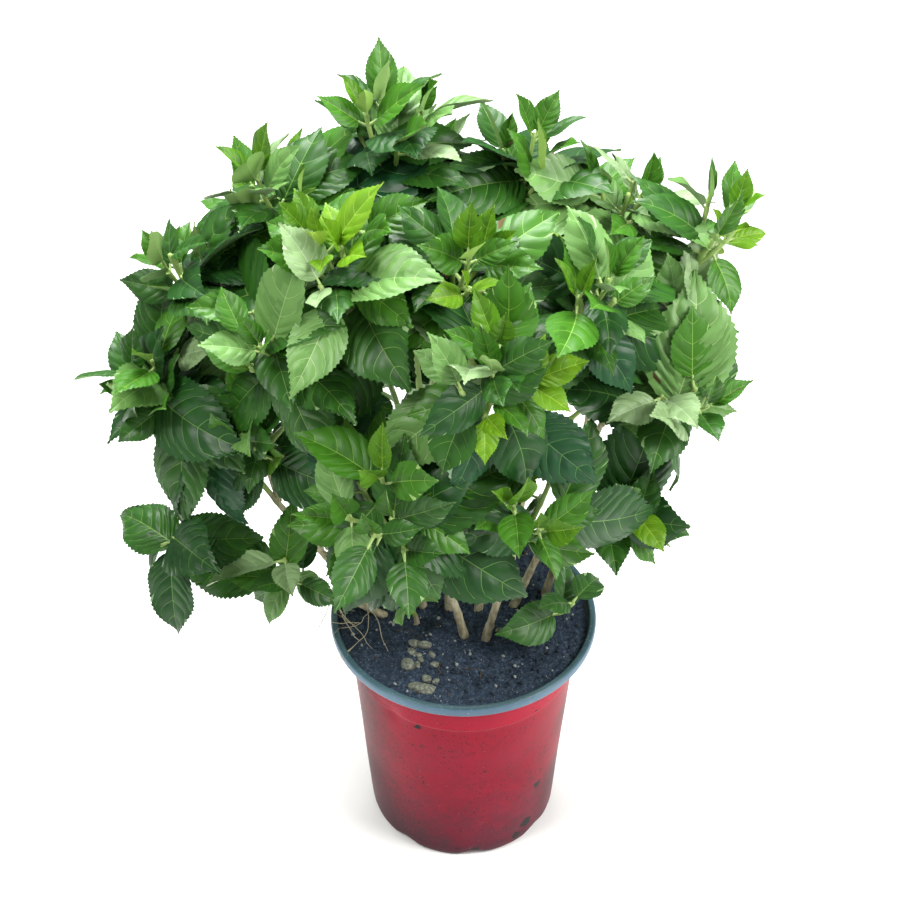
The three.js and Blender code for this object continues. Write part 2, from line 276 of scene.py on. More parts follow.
class Tree:
    """A short way to write a material's nodes. The surface is its colour so far."""

    def __init__(self, name):
        self.material = bpy.data.materials.new(name)
        self.material.use_nodes = True
        self.nodes, self.links = self.material.node_tree.nodes, self.material.node_tree.links
        self.shader = self.nodes["Principled BSDF"]
        self.surface = None

    def feed(self, source, socket):
        """Joins an output, or a node's first one, to an input, or sets a plain value on it."""
        source = source.outputs[0] if hasattr(source, "outputs") else source
        if isinstance(source, bpy.types.NodeSocket):
            self.links.new(source, socket)
        else:
            socket.default_value = source

    def node(self, kind, inputs, **settings):
        made = self.nodes.new("ShaderNode" + kind)
        for key, value in settings.items():
            setattr(made, key, value)
        for key, source in inputs.items():
            self.feed(source, made.inputs[key])
        return made

    def where(self):
        return self.node("TexCoord", {}).outputs["Object"]

    def noise(self, scale, detail=4.0, roughness=0.55, stretch=(1, 1, 1)):
        mapping = self.node("Mapping", {"Vector": self.where(), "Scale": stretch})
        sizes = {"Scale": scale, "Detail": detail, "Roughness": roughness}
        return self.node("TexNoise", {"Vector": mapping, **sizes})

    def ramp(self, source, *stops):
        """A ramp of stops, each a place and a hex colour or a plain value."""
        ramp = self.node("ValToRGB", {"Fac": source})
        points = ramp.color_ramp.elements
        while len(points) < len(stops):
            points.new(0.5)
        for point, (at, value) in zip(points, stops):
            point.position = at
            point.color = linear(value) if isinstance(value, str) else (value, value, value, 1.0)
        return ramp

    def product(self, first, second):
        return self.node("Math", {0: first, 1: second}, operation="MULTIPLY")

    def multiply_add(self, source, factor, addend):
        return self.node("Math", {0: source, 1: factor, 2: addend}, operation="MULTIPLY_ADD")

    def height(self):
        """0 at the foot of the pot and 1 at the lip."""
        split = self.node("SeparateXYZ", {0: self.where()})
        return self.product(split.outputs["Z"], 1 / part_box("pot")[1][2])

    def blot(self, bearing, level, radius, firm=0.75):
        """1 in a ragged blot on the pot's wall, falling to 0 at its edge from a share of its radius."""
        middle = np.append(from_axis(pot_wall(level), math.radians(bearing)), level) * MM
        gap = self.node("VectorMath", {0: self.where(), 1: middle}, operation="DISTANCE").outputs["Value"]
        ragged = self.multiply_add(self.noise(240, 3, 0.6), -RAGGED * MM, gap)
        share = self.multiply_add(ragged, 1 / (radius * MM), RAGGED / 2 / radius)
        return self.ramp(share, (firm, 1.0), (0.98, 0.0))

    def cover(self, share, colour):
        """Lays a colour over the surface, by a share from 0 to 1."""
        mix = self.node("Mix", {0: share, 6: self.surface, 7: linear(colour)}, data_type="RGBA")
        self.surface = mix.outputs[2]

    def bump(self, source, strength, distance):
        """Adds a relief to those already there."""
        bump = self.node("Bump", {"Strength": strength, "Distance": distance, "Height": source})
        normal = self.shader.inputs["Normal"]
        if normal.is_linked:
            self.feed(normal.links[0].from_node, bump.inputs["Normal"])
        self.feed(bump, normal)

    def finish(self, colour, roughness, specular=0.5):
        for source, socket in ((colour, "Base Color"), (roughness, "Roughness"),
                               (specular, "Specular IOR Level")):
            self.feed(source, self.shader.inputs[socket])
        return self.material


def plain_material(name, colour, roughness, specular=0.5):
    """One even finish: a small thing that is joined with many others has no pattern of its own."""
    return Tree(name).finish(linear(colour), roughness, specular)


# --- Leaves -------------------------------------------------------------------------------------
# A leaf's mesh has rows that follow its side veins, which leave the midrib and curve forward to the edge,
# and columns from the midrib out. Each side vein is a pair of close rows, so that it has faces of its own.


class LeafForm:
    """The mesh of a leaf in its own terms: s along the midrib, c across from -1 to 1, and a relief."""

    def __init__(self, veins, columns, under_columns):
        rows, strips = [0.0, 0.09], []
        vein_rows = np.linspace(0.2, 0.87, veins) ** 1.04
        gaps = np.diff(vein_rows, append=1.0)
        rows += [0.15]
        for at, gap in zip(vein_rows, gaps):
            strips.append(len(rows))
            rows += [at, at, at + 0.27 * gap, at + 0.5 * gap, at + 0.75 * gap]
        rows += [1.0]
        q = np.array(rows)
        n = len(q)
        even = (np.arange(n) + 0.3) / (n - 0.7)
        even[0], even[-1] = 0.015, 1.0
        across = np.concatenate([-np.array(columns)[::-1], columns])
        outer = np.abs(across)[None, :]
        starts = np.clip((q - 0.08) / 0.92, 0, 1)[:, None] ** 1.9
        ends = np.clip(q, 0.015, 1)[:, None] ** 0.82
        s = starts + (ends - starts) * (0.62 * outer + 0.38 * outer ** 3)
        rim = np.clip((outer - 0.8) / 0.2, 0, 1)
        s = s * (1 - rim) + even[:, None] ** 0.82 * rim
        width = 0.0033 * (1 - 0.7 * outer[0])
        for strip in strips:
            s[strip] -= width * (1 - rim[0])
            s[strip + 1] += width * (1 - rim[0])
        self.s, self.c = np.clip(s, 0.0, 1.0), np.broadcast_to(across, s.shape)
        self.relief = self._relief(n, strips, outer[0])
        self.tooth = np.where(np.arange(n) % 2 == 1, 1.0, -0.35)[:, None] * (outer > 0.999)
        self.tooth[[0, -1]] = 0
        self._faces(n, len(across), strips, np.array(columns), np.array(under_columns))

    def _relief(self, n, strips, outer):
        """Height over the mean surface: veins lie in furrows, and the panels between them are quilted."""
        height = np.full((n, len(outer)), 0.55)
        for strip in strips:
            height[strip] = height[strip + 1] = -0.75
            for step, bulge in ((2, 0.75), (3, 1.0), (4, 0.8)):
                height[strip + step] = bulge
        quilt = np.where((np.arange(n)[:, None] + np.arange(len(outer))) % 2 == 0, 0.65, -0.65)
        quilt[strips] = quilt[np.array(strips) + 1] = 0
        fade = np.clip(outer / 0.12, 0, 1) * np.clip((1.02 - outer) / 0.45, 0, 1)
        return (height + quilt) * fade - 0.9 * np.clip(1 - outer / 0.1, 0, 1)

    def _faces(self, n, width, strips, columns, under_columns):
        index = np.arange(n * width).reshape(n, width)
        self.top = grid_quads(index)
        self.row_of_face, self.column_of_face, self.top_zone = self._zones(n, width, strips)
        chosen = [np.flatnonzero(np.isclose(columns, c))[0] for c in under_columns]
        half = len(columns)
        under = np.array([half - 1 - k for k in chosen[::-1]] + [half + k for k in chosen])
        self.under_columns = under
        self.shared = np.zeros((n, len(under)), bool)
        self.shared[:, [0, -1]] = self.shared[[0, -1]] = True
        lower, own = index[:, under], ~self.shared
        lower[own] = n * width + np.arange(own.sum())
        self.bottom = grid_quads(lower)[:, FLIPPED]
        self.bottom_zone = self._zones(n, len(under), strips)[2]
        self.edge = np.zeros((n, width), bool)
        self.edge[:, [0, -1]] = self.edge[[0, -1]] = True

    @staticmethod
    def _zones(n, width, strips):
        """Each face's row, column and zone: 0 a panel, 1 a side vein, 2 the midrib."""
        i, j = np.meshgrid(np.arange(n - 1), np.arange(width - 1), indexing="ij")
        vein = np.isin(i, strips) & (np.minimum(j, width - 2 - j) > 0)
        return i.ravel(), j.ravel(), np.where(j == width // 2 - 1, 2, np.where(vein, 1, 0)).ravel()


LARGE_LEAF = LeafForm(7, [0.0, 0.13, 0.3, 0.48, 0.66, 0.84, 1.0], [0.0, 0.3, 0.66, 1.0])
SMALL_LEAF = LeafForm(5, [0.0, 0.2, 0.45, 0.72, 1.0], [0.0, 0.45, 1.0])
SMALL_LEAF_UNDER = 0.074  # metres: leaves shorter than this have the coarser mesh
LEAF_THICKNESS = 0.0005

# The underside colours are the leaf's own lighter back made lighter still, as painted light shining through
# the leaf, and the vein colours on top are lightened as painted highlight.
TINTS = {  # top, top's second tone, veins on top, underside, veins under
    "lime": ("5F8C14", "6A941A", "A6C254", "B0D254", "C6DC8C"),
    "bright": ("507F15", "457217", "9ABA4A", "A2C664", "BCD48C"),
    "fresh": ("3C701A", "356417", "80A648", "92B46A", "B0C88C"),
    "mid": ("2B5919", "254F19", "6E9246", "88A870", "A6BE8A"),
    "deep": ("1E491A", "194119", "5E8642", "7E9E70", "9CB488"),
    "blue": ("1D4B29", "194226", "568048", "83A07E", "A0B692"),
    # The next two tints are green drawn whitish as painted sheen from the sky on the leaves' upper sides.
    "pale": ("668F4C", "5A8342", "98B476", "A6BA92", "BAC6A6"),
    "silver_sheen": ("86A272", "789464", "B0C29C", "B0C0A0", "C0CCB0"),
    "dry": ("96903F", "8A8038", "ABA35A", "8A8448", "A9A262"),
}
BLEMISH, BLEMISH_CHANCE = "5B4630", 0.04  # where a leaf is damaged
ZONES = ("top", "second", "vein", "under", "undervein")


def make_leaf_materials():
    materials, slots = [], {}
    for tint, colours in TINTS.items():
        for zone, colour in zip(ZONES, colours):
            slots[tint, zone] = len(materials)
            roughness, gloss = (0.66, 0.3) if zone.startswith("under") else (0.42, 0.34)
            materials.append(plain_material(f"leaf_{tint}_{zone}", colour, roughness, gloss))
    slots["blemish"] = len(materials)
    materials.append(plain_material("leaf_blemish", BLEMISH, 0.8, 0.3))
    return materials, slots


def half_width(s, leaf):
    """The leaf's outline: rounded at the foot, full along the sides and drawn out to a short point."""
    foot, tip = leaf["foot"], leaf["tip"]
    peak = foot / (foot + tip)
    top = peak ** foot * (1 - peak) ** tip
    drawn = 1 - 0.66 * np.clip((s - 0.6) / 0.4, 0, 1) ** 1.5
    return leaf["width"] / 2 * (s ** foot * (1 - s) ** tip / top * drawn + 0.006)


def leaf_points(form, leaf):
    """Every vertex of one leaf, bent, folded, waved and set in its place."""
    s, c = form.s, form.c
    length = leaf["length"]
    w = half_width(s, leaf)
    tooth = leaf["teeth"] * form.tooth
    x = c * w + np.sign(c) * tooth
    side = np.where(np.arange(s.shape[1]) < s.shape[1] // 2, -1.0, 1.0)
    midrib = leaf["midrib"] * (1 - 0.75 * s)
    x = x + side * midrib * np.clip(1 - np.abs(c), 0, 1)
    along = np.clip(s + np.abs(tooth) * 0.5 / length * (tooth > 0), 0, 1.004)
    relief = form.relief * leaf["relief"] * np.clip(w / (leaf["width"] * 0.25), 0, 1)
    phase = along * leaf["waves"] * 2 * math.pi + leaf["phase"] + side * 0.9
    waves = leaf["wave"] * np.abs(c) ** 2 * np.sin(phase)
    spread = np.abs(x)
    fold, cup = leaf["fold"], leaf["cup"]
    out = side * spread * math.cos(fold)
    lift = spread * math.sin(fold) - cup * spread ** 2 / leaf["width"] + relief + waves * np.clip(s * 5, 0, 1)
    vertices = set_leaf(along, out, lift, leaf)
    under = form.under_columns
    own = ~form.shared
    drop = LEAF_THICKNESS + 1.1 * leaf["relief"]
    sunk = lift[:, under] - relief[:, under] * 0.8 - drop * 0.8
    lower = set_leaf(along[:, under], out[:, under], sunk, leaf)
    return np.concatenate([vertices.reshape(-1, 3), lower[own]])


def set_leaf(along, out, lift, leaf):
    """Carries points from a flat leaf to the bent one: along the midrib, out from it, and over the blade."""
    steps = np.linspace(0, 1.01, 60)
    pitch = leaf["bend"] * steps ** 1.4
    turn = leaf["sickle"] * steps
    step = leaf["length"] * np.gradient(steps)
    forward = np.cumsum(np.cos(pitch) * np.cos(turn) * step) - step[0]
    down = np.cumsum(np.sin(pitch) * step)
    across = np.cumsum(np.cos(pitch) * np.sin(turn) * step)
    here = lambda values: np.interp(along, steps, values)[..., None]
    tilt, yaw, roll = here(pitch), here(turn), (leaf["twist"] * along)[..., None]
    ahead, right, over = leaf["ahead"], leaf["right"], leaf["over"]
    point = leaf["base"] + here(forward) * ahead - here(down) * over + here(across) * right
    heading = np.cos(yaw) * ahead + np.sin(yaw) * right
    lateral = -np.sin(yaw) * ahead + np.cos(yaw) * right
    normal = np.sin(tilt) * heading + np.cos(tilt) * over
    cos, sin = np.cos(roll), np.sin(roll)
    point = point + out[..., None] * (lateral * cos + normal * sin)
    return point + lift[..., None] * (normal * cos - lateral * sin)


def add_leaf(soup, leaf, slots, random):
    form = SMALL_LEAF if leaf["length"] < SMALL_LEAF_UNDER else LARGE_LEAF
    vertices = leaf_points(form, leaf)
    tint = leaf["tint"]
    patch = np.sin(form.row_of_face * 0.7 + random.uniform(0, 6))
    patch = patch + np.sin(form.column_of_face * 0.9 + random.uniform(0, 6))
    second = patch + random.uniform(-0.6, 0.6, len(patch)) > 0.7
    panel = np.where(second, slots[tint, "second"], slots[tint, "top"])
    top = np.where(form.top_zone > 0, slots[tint, "vein"], panel)
    bottom = np.where(form.bottom_zone > 0, slots[tint, "undervein"], slots[tint, "under"])
    if random.uniform() < BLEMISH_CHANCE:
        spot = random.integers(form.row_of_face.max()), random.integers(form.column_of_face.max())
        size = random.uniform(1.2, 2.6)
        far = np.hypot(form.row_of_face - spot[0], (form.column_of_face - spot[1]) * 2)
        top[far < size] = slots["blemish"]
    sharp = np.zeros(len(vertices), bool)
    sharp[:form.edge.size] = form.edge.ravel()
    soup.add(vertices, np.concatenate([form.top, form.bottom]), np.concatenate([top, bottom]), sharp=sharp)


def new_leaf(random, base, ahead, over, length, tint, **changes):
    """A leaf's own sizes, with a little of everything left to chance."""
    ahead = unit(ahead)
    over = square_to(over, ahead)
    width = length * random.uniform(0.56, 0.72)
    leaf = {
        "base": base, "ahead": ahead, "over": over, "right": np.cross(ahead, over),
        "length": length, "width": width, "tint": tint,
        "foot": random.uniform(0.55, 0.74), "tip": random.uniform(0.86, 1.1),
        "teeth": 0.0125 * length * random.uniform(0.8, 1.2), "midrib": 0.005 * length + 0.0001,
        "relief": 0.0115 * length * random.uniform(0.6, 1.3),
        "wave": 0.02 * length * random.uniform(0.3, 1.3), "waves": random.uniform(1.2, 2.6),
        "phase": random.uniform(0, 6.3), "fold": angle_in(random, 4, 26),
        "cup": random.uniform(0.1, 0.9), "bend": angle_in(random, 18, 65),
        "sickle": angle_in(random, -14, 14), "twist": angle_in(random, -16, 16),
    }
    leaf.update(changes)
    return leaf


# --- Limbs --------------------------------------------------------------------------------------

SECTIONS = 14  # cuts across a CAD limb that its middle line is read from


def limb_line(name, far_end):
    """The middle line of a CAD limb, as points from its foot to the end near far_end, and its radii."""
    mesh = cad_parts[name].data
    points = np.array([v.co for v in mesh.vertices])
    edges = np.array([e.vertices for e in mesh.edges])
    middle = points.mean(axis=0)
    axis = np.linalg.svd(points - middle, full_matrices=False)[2][0]
    if np.dot(far_end - middle, axis) < 0:
        axis = -axis
    depth = (points - middle) @ axis
    low, high = depth.min(), depth.max()
    line, radii = [], []
    for level in np.linspace(low, high, SECTIONS + 2)[1:-1]:
        a, b = depth[edges[:, 0]], depth[edges[:, 1]]
        cut = (a - level) * (b - level) < 0
        share = ((level - a) / (b - a))[cut, None]
        ring = points[edges[cut, 0]] * (1 - share) + points[edges[cut, 1]] * share
        centre = (ring.min(axis=0) + ring.max(axis=0)) / 2
        line.append(centre)
        radii.append(np.median(np.linalg.norm(ring - centre, axis=1)))
    line, radii = np.array(line), np.array(radii)
    line = np.vstack([line[0] + (line[0] - line[1]) * 0.55, line, line[-1] + (line[-1] - line[-2]) * 0.5])
    trend = np.polyfit(np.arange(len(radii)), radii, 1)
    radii = np.polyval(trend, np.arange(-0.5, len(radii) + 1))[: len(line)]
    return line, np.clip(radii, 0.0018, 0.006)


def smoothed(line, count):
    """A line through the same points with more of them, evenly spaced along it."""
    run = np.concatenate([[0], np.cumsum(np.linalg.norm(np.diff(line, axis=0), axis=1))])
    t = np.linspace(0, run[-1], count)
    slopes = np.gradient(line, run, axis=0)
    i = np.clip(np.searchsorted(run, t, side="right") - 1, 0, len(run) - 2)
    h = (run[i + 1] - run[i])[:, None]
    u = ((t - run[i]) / h[:, 0])[:, None]
    a = (1 + 2 * u) * (1 - u) ** 2 * line[i] + u * (1 - u) ** 2 * h * slopes[i]
    return a + u * u * (3 - 2 * u) * line[i + 1] + u * u * (u - 1) * h * slopes[i + 1], run[-1]


# --- Masses -------------------------------------------------------------------------------------


def in_pot(points):
    """How many of these points lie in the pot's lip and wall or in the soil."""
    out, level = np.hypot(points[:, 0], points[:, 1]) / MM, points[:, 2] / MM
    wall = (out > SOIL_EDGE) & (out < POT["lip"] + 5) & (level < POT["height"] + 4)
    return int((wall | (out <= SOIL_EDGE) & (level < SOIL_TOP + 6)).sum())


class Mass:
    """A CAD mass of leaves: its middle, half size and surface, and how its place in the crown shapes it."""

    def __init__(self, name):
        self.node, self.name = name, name[len("leaves_"):]
        self.centre, self.half = node_box(name)
        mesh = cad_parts[name].data
        faces = [list(face.vertices) for face in mesh.polygons]
        self.surface = BVHTree.FromPolygons([corner.co for corner in mesh.vertices], faces)
        from_middle = self.centre - CROWN_MIDDLE
        self.outward = unit(unit(from_middle) + UP * 0.35)
        self.low = float(np.clip(0.5 - from_middle[2] / 0.2, 0, 1.5))
        self.habit = {**USUAL_HABIT, **HABITS.get(self.name, {})}

    def reach(self, way):
        """How far the surface lies from the middle."""
        hit = self.surface.ray_cast(Vector(self.centre), Vector(way))
        return hit[3] or float(np.mean(self.half))

    def holds(self, point, room):
        """Whether a point is inside the surface or within room of it."""
        way = point - self.centre
        gap = math.sqrt(way @ way)
        return gap < self.half.max() * 1.6 + room and gap - self.reach(way / max(gap, 1e-9)) <= room


USUAL_HABIT = {
    "sink": 0.0,  # how far the leaves sink, over the rule's
    "size": 1.0,  # how large they are
    "splay": 0.65,  # how much they turn outwards
    "tries": 12,  # turns tried to keep each one clear
    "room": 2.0,  # mm that it may stand out of the masses
    "shoots": 1.0,  # how many shoots there are
    "spread": 0.93,  # the share of the reach that they spread over
    "wrap": 1.25,  # how far round the back they go
    "pale": 0.0,  # the share of dark sprays that take painted sheen instead
}
# How most masses differ from it. first is the rank of the leaves at the tips of their shoots.
# The masses on the crown's right take a share of sheen sprays: painted light where the light falls.
HABITS = {
    "front": dict(sink=0.55, size=1.3, shoots=0.95, room=10.0),
    "front_right": dict(sink=0.5, size=1.15, shoots=0.75, room=6.0),
    "front_middle": dict(sink=0.2, size=1.15, room=6.0),
    "middle_left": dict(sink=0.3, size=1.15, shoots=1.05, room=12.0, tries=20),
    "right_front": dict(sink=0.3, size=1.2, shoots=0.7, room=6.0, spread=0.78, splay=0.3, pale=0.2),
    "low_left": dict(sink=0.8, size=1.5, shoots=0.4, room=14.0, first=2, splay=0.1, spread=0.6, tries=24),
    "low_left_inner": dict(sink=0.8, shoots=0.5, room=16.0, first=1, splay=0.1, spread=0.7, tries=24),
    "low_right": dict(sink=0.5, size=1.25, shoots=0.55, room=6.0, first=1, splay=0.2, spread=0.4, tries=24),
    "left_front": dict(sink=0.4, size=1.15, shoots=0.85, room=8.0),
    "top": dict(sink=-0.05, size=1.25, shoots=0.75, spread=0.88),
    "top_left": dict(size=1.2, shoots=0.75, spread=0.88),
    "top_middle": dict(size=1.2, shoots=0.75, spread=0.92),
    "top_right": dict(size=1.2, shoots=0.75, spread=0.88, pale=0.16),
    "upper_left": dict(size=1.2, shoots=0.7),
    "left": dict(sink=0.25, size=1.3, shoots=0.8, room=4.0, spread=0.85, splay=0.3, tries=20),
    "left_inner": dict(size=1.15, shoots=0.8),
    "far_right": dict(sink=0.2, size=1.2, shoots=0.75, spread=0.9, pale=0.16),
    "right": dict(sink=0.1, size=1.15, shoots=0.8, pale=0.24),
    "middle": dict(size=1.1, shoots=1.05, room=12.0, tries=20),
    "middle_right": dict(sink=0.15, size=1.1, room=6.0, pale=0.12),
    "low_back_left": dict(size=1.25, shoots=1.3, room=16.0, wrap=1.8, tries=20),
    "low_back_right": dict(size=1.25, shoots=1.3, room=16.0, wrap=1.8, tries=20),
    "low_front_shoot": dict(sink=0.3, size=0.75, shoots=0.7, room=14.0, first=1, tries=24),
    "low_right_shoot": dict(sink=0.4, size=1.05, shoots=0.4, room=15.0, first=2, splay=0.2, tries=24),
}
CROWN_NODES = [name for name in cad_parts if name.startswith("leaves_")]
CROWN_MIDDLE = np.mean([node_box(name)[0] for name in CROWN_NODES], axis=0)
MASSES = [Mass(name) for name in sorted(CROWN_NODES, key=lambda name: node_box(name)[0][1])]


def straying(points, room):
    """How many of these points stand clear of every mass by more than room, in a gap or outside the crown."""
    return sum(not any(mass.holds(point, room) for mass in MASSES) for point in points)


# --- Shoots -------------------------------------------------------------------------------------
# By rank from a shoot's tip: leaf length in mm, angle off the shoot, how far it sinks, bend and fold,
# and the way back to the next pair.

RANKS = (
    {"length": (26, 42), "angle": (10, 28), "sink": 0.0, "bend": (4, 22), "fold": (24, 40), "next": 8},
    {"length": (44, 72), "angle": (26, 52), "sink": 0.1, "bend": (14, 40), "fold": (10, 28), "next": 20},
    {"length": (64, 100), "angle": (46, 74), "sink": 0.35, "bend": (26, 58), "fold": (5, 22), "next": 28},
    {"length": (76, 122), "angle": (58, 88), "sink": 0.55, "bend": (30, 64), "fold": (4, 18), "next": 30},
    {"length": (70, 114), "angle": (70, 96), "sink": 0.7, "bend": (32, 66), "fold": (2, 14), "next": 28},
)
SPRAYS = {  # a spray's tints, by rank
    "young": ("lime", "lime", "fresh", "mid", "mid"),
    "green": ("bright", "fresh", "mid", "mid", "deep"),
    "dark": ("fresh", "mid", "deep", "deep", "blue"),
    "dull": ("fresh", "pale", "mid", "blue", "deep"),
    "painted_sheen": ("fresh", "silver_sheen", "pale", "mid", "deep"),
}
# The sheen spray, painted sheen, is far likelier at the top of the crown, where the sky light falls.
HIGH_CHANCES = (0.12, 0.34, 0.25, 0.13, 0.16)  # of each spray, in the order above, at the top of the crown
LOW_CHANCES = (0.01, 0.36, 0.53, 0.09, 0.01)  # and at its foot
LIGHT = unit(np.array([0.0, -0.4, 0.9]))  # where the leaves turn their upper sides
TAKEN = []  # points on the leaves placed so far
CROWDED = 0.009  # metres: nearer than this, two leaves run into each other
WORST = 6  # a leaf in more trouble than this is left out
DRY_CHANCE = 0.012
SHOOT_PACE = 0.0105  # metres of a mass's half size for each shoot
SHOOT_POINTS = 30
PLANT_SEED = 700


def sample_points(leaf):
    """A few points on a leaf's blade."""
    s, c = np.meshgrid([0.12, 0.32, 0.55, 0.78, 0.97], [-0.6, 0.0, 0.6], indexing="ij")
    out = np.abs(c) * half_width(s, leaf) * math.cos(leaf["fold"]) * np.sign(c)
    lift = np.abs(c) * half_width(s, leaf) * math.sin(leaf["fold"])
    return set_leaf(s, out, lift, leaf).reshape(-1, 3)


def crowding(points):
    """How many of these points lie close to a leaf that is already there."""
    if not TAKEN:
        return 0
    gaps = np.linalg.norm(points[:, None, :] - np.concatenate(TAKEN)[None, :, :], axis=2)
    return int((gaps.min(axis=1) < CROWDED).sum())


def petiole(soup, start, side, leaf):
    """The stalk from a node to a leaf's foot."""
    end = leaf["base"] + leaf["ahead"] * leaf["length"] * 0.03
    span = np.linalg.norm(end - start)
    points = bezier(start, start + side * span * 0.4, end - leaf["ahead"] * span * 0.4, end, 8)
    thick = 0.0009 + 0.007 * leaf["length"]
    soup.add_tube(points, np.linspace(thick * 1.25, thick * 0.7, 8), 6, 1)


def grow_leaf(leaves, stalks, mass, node, axis, side, rank, spray, random):
    """One leaf of a pair, turned and shortened where it would run into another or leave the masses."""
    rule = RANKS[rank]
    length = random.uniform(*rule["length"]) * MM * mass.habit["size"]
    tint = SPRAYS[spray][rank]
    if spray == "young":
        length *= 0.8
    if rank > 2 and random.uniform() < DRY_CHANCE:
        tint, length = "dry", length * 0.6
    best = None
    for attempt in range(mass.habit["tries"]):
        angle = angle_in(random, *rule["angle"])
        way = turned(side, axis, random.uniform(-0.3, 0.3) * (1 + attempt * 0.6))
        sink = rule["sink"] + rank * (0.14 * mass.low + 0.4 * mass.habit["sink"])
        sink = sink * random.uniform(0.5, 1.4)
        ahead = unit(axis * math.cos(angle) + way * math.sin(angle) - UP * sink)
        size = length * (1 - 0.05 * min(attempt, 8))
        base = node + unit(ahead + way * 0.3) * size * random.uniform(0.1, 0.2)
        over = unit(LIGHT * 0.75 + mass.outward * mass.habit["splay"] + axis * 0.25)
        over = turned(over, ahead, random.uniform(-0.6, 0.6))
        leaf = new_leaf(random, base, ahead, over, size, tint,
                        bend=angle_in(random, *rule["bend"]), fold=angle_in(random, *rule["fold"]))
        points = sample_points(leaf)
        outside = straying(points, mass.habit["room"] * MM)
        trouble = crowding(points) + 1.5 * outside + 2 * in_pot(points)
        if best is None or trouble < best[0]:
            best = (trouble, leaf, points, way)
        if trouble == 0:
            break
    trouble, leaf, points, way = best
    if trouble > WORST:
        return
    TAKEN.append(points)
    leaves.append(leaf)
    petiole(stalks, node, unit(way + axis * 0.5), leaf)


def grow_shoot(leaves, stalks, mass, points, radius, random):
    """A green shoot with opposite pairs of leaves, each pair square to the last."""
    points, length = smoothed(np.asarray(points), SHOOT_POINTS)
    run = np.linspace(0, length, SHOOT_POINTS)
    opening = random.uniform() < 0.72 - 0.4 * min(mass.low, 1.0)  # whether the tip still has young leaves
    at, rank, stops = length - 0.003, mass.habit.get("first", 0 if opening else 1), []
    while at > 0.004 and rank < len(RANKS):
        stops.append((at, rank))
        at -= RANKS[rank]["next"] * MM * random.uniform(0.8, 1.2)
        rank += 1
    radii = np.linspace(radius, radius * 0.62, SHOOT_POINTS)
    for stop, _ in stops:
        radii = radii * (1 + 0.22 * np.exp(-((run - stop) / 0.003) ** 2))
    stalks.add_tube(points, radii, 7, 0)
    tangents = np.gradient(points, axis=0)
    turn = random.uniform(0, math.pi)
    share = min(mass.low, 1.0)
    chances = np.array(HIGH_CHANCES) * (1 - share) + np.array(LOW_CHANCES) * share
    paler = min(mass.habit["pale"], chances[2])  # share of dark sprays that take painted sheen instead
    chances = chances + np.array([0, 0, -paler, 0, paler])
    spray = list(SPRAYS)[random.choice(len(SPRAYS), p=chances / chances.sum())]
    for stop, rank in stops:
        k = int(np.searchsorted(run, stop).clip(1, SHOOT_POINTS - 2))
        node, axis = points[k], unit(tangents[k])
        side = square_to(np.array([1.0, 0.17, 0.1]), axis)
        side = turned(side, axis, turn + random.uniform(-0.2, 0.2))
        for way in (side, -side):
            grow_leaf(leaves, stalks, mass, node, axis, unit(way), rank, spray, random)
        turn += math.pi / 2


def way_up(start, direction, target, rise=0.5):
    """A shoot's line, from a start in a direction to a target, turning up towards the light."""
    span = np.linalg.norm(target - start)
    last = unit(unit(target - start) + UP * rise)
    return bezier(start, start + direction * span * 0.35, target - last * span * 0.35, target, 12)


def ways_out(mass, count, random):
    """Directions spread evenly over the side of a mass that faces out of the crown."""
    turn, ways = random.uniform(0, 2 * math.pi), []
    across = square_to(np.array([0.3, 0.1, 0.95]), mass.outward)
    other = np.cross(mass.outward, across)
    for k in range(count):
        ahead = 0.93 - mass.habit["wrap"] * (k + 0.5) / count
        round_it = math.sqrt(1 - ahead * ahead)
        turn += math.pi * (3 - math.sqrt(5))
        aside = across * math.cos(turn) + other * math.sin(turn)
        ways.append(unit(mass.outward * ahead + aside * round_it))
    return ways


def grow_mass(mass, limb, random):
    """The leaves and shoots that stand for one mass, growing on from the end of its limb."""
    leaves, stalks = [], Soup()
    line, radii = limb
    start, direction = line[-2], unit(line[-1] - line[-3])
    out = mass.reach(mass.outward) * 0.5 * mass.habit["spread"]
    leader = way_up(start, direction, mass.centre + mass.outward * out)
    grow_shoot(leaves, stalks, mass, leader, radii[-1] * 1.2, random)
    count = max(1, int(round(np.mean(mass.half) / SHOOT_PACE * mass.habit["shoots"])))
    for k, way in enumerate(ways_out(mass, count, random)):
        fork = leader[int(1 + 7 * k / count)]
        aim = mass.centre + way * mass.reach(way) * random.uniform(0.4, 0.6) * mass.habit["spread"]
        path = way_up(fork, unit(aim - fork + direction * 0.02), aim)
        grow_shoot(leaves, stalks, mass, path, 0.0027, random)
    return leaves, stalks


def make_plant():
    leaf_materials, slots = make_leaf_materials()
    shoot_materials = [plain_material("shoot_green", "93AE62", 0.5),
                       plain_material("stalk_green", "A2BC72", 0.5)]
    bark = bark_material()
    for index, mass in enumerate(MASSES):
        random = np.random.default_rng(PLANT_SEED + index)
        limb_name = next(n for n in ("stem_" + mass.name, "bough_" + mass.name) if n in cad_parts)
        limb = limb_line(limb_name, mass.centre)
        make_limb(limb_name, limb, [bark, shoot_materials[0]], random)
        if mass.name == "low_left":
            make_dry_roots(limb, plain_material("dry_root", "B5AB92", 0.85, 0.3), random)
        leaves, stalks = grow_mass(mass, limb, random)
        soup = Soup()
        for leaf in leaves:
            add_leaf(soup, leaf, slots, random)
        foliage = soup.build("foliage_" + mass.name, leaf_materials)
        place(foliage, "leaves", mass.node)
        shoots = stalks.build("shoots_" + mass.name, shoot_materials)
        place(shoots, "bark")


